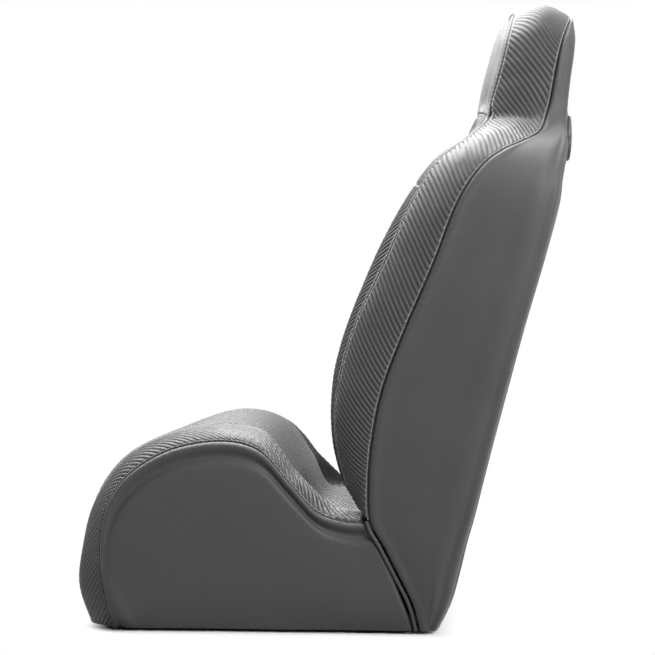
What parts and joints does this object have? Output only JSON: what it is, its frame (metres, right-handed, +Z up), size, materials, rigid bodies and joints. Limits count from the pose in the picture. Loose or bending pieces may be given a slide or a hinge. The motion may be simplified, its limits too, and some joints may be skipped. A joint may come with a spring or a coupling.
{
  "type": "racing seat",
  "caption": "Fixed-back off-road racing seat: tube frame, elastic webbing, foam pads and a sewn vinyl cover with two harness slots.",
  "frame": {"origin": "centre of the four floor bolts, on the underside of the mounting tabs", "axes": "+Z up along the longest side; +X to the occupant's left, across the seat; the occupant faces -Y"},
  "size_m": [0.5328, 0.7701, 0.9567],
  "materials": {
    "frame_paint": "satin",
    "zinc": "satin",
    "webbing": "matte",
    "foam": "matte",
    "dust_cloth": "matte",
    "perforated_vinyl": "satin",
    "ribbed_vinyl": "satin",
    "smooth_vinyl": "satin",
    "trim_vinyl": "satin"
  },
  "bodies": {
    "root": {"base_hoop": "frame_paint", "main_hoop": "frame_paint", "seat_hoop": "frame_paint", "headrest_hoop": "frame_paint", "bolster_rail_left": "frame_paint", "bolster_rail_right": "frame_paint", "bolster_struts": "frame_paint", "seat_risers": "frame_paint", "rear_cross_tube": "frame_paint", "lumbar_cross_tube": "frame_paint", "mounting_tabs": "frame_paint", "weld_nuts": "zinc", "seat_webbing": "webbing", "back_webbing": "webbing", "thigh_roll_foam": "foam", "seat_cushion_foam": "foam", "seat_bolster_foam_left": "foam", "seat_bolster_foam_right": "foam", "back_cushion_foam": "foam", "back_bolster_foam_left": "foam", "back_bolster_foam_right": "foam", "shoulder_foam_front": "foam", "shoulder_foam_rear": "foam", "headrest_foam_front": "foam", "headrest_foam_rear": "foam", "rear_pad_foam": "foam", "seat_front_panel": "smooth_vinyl", "seat_center_panel": "perforated_vinyl", "seat_strip_left": "ribbed_vinyl", "seat_strip_right": "ribbed_vinyl", "seat_side_left": "smooth_vinyl", "seat_side_right": "smooth_vinyl", "back_center_panel": "perforated_vinyl", "back_inner_strip_left": "ribbed_vinyl", "back_inner_strip_right": "ribbed_vinyl", "boxing_strip_left": "ribbed_vinyl", "boxing_strip_right": "ribbed_vinyl", "shoulder_yoke": "ribbed_vinyl", "headrest_front_panel": "smooth_vinyl", "back_side_left": "smooth_vinyl", "back_side_right": "smooth_vinyl", "back_rear_panel": "smooth_vinyl", "welt_left": "trim_vinyl", "welt_right": "trim_vinyl", "harness_sleeve_left": "trim_vinyl", "harness_sleeve_right": "trim_vinyl", "harness_rims_front": "trim_vinyl", "harness_rims_rear": "trim_vinyl", "dust_cloth": "dust_cloth"}
  },
  "joints": []
}
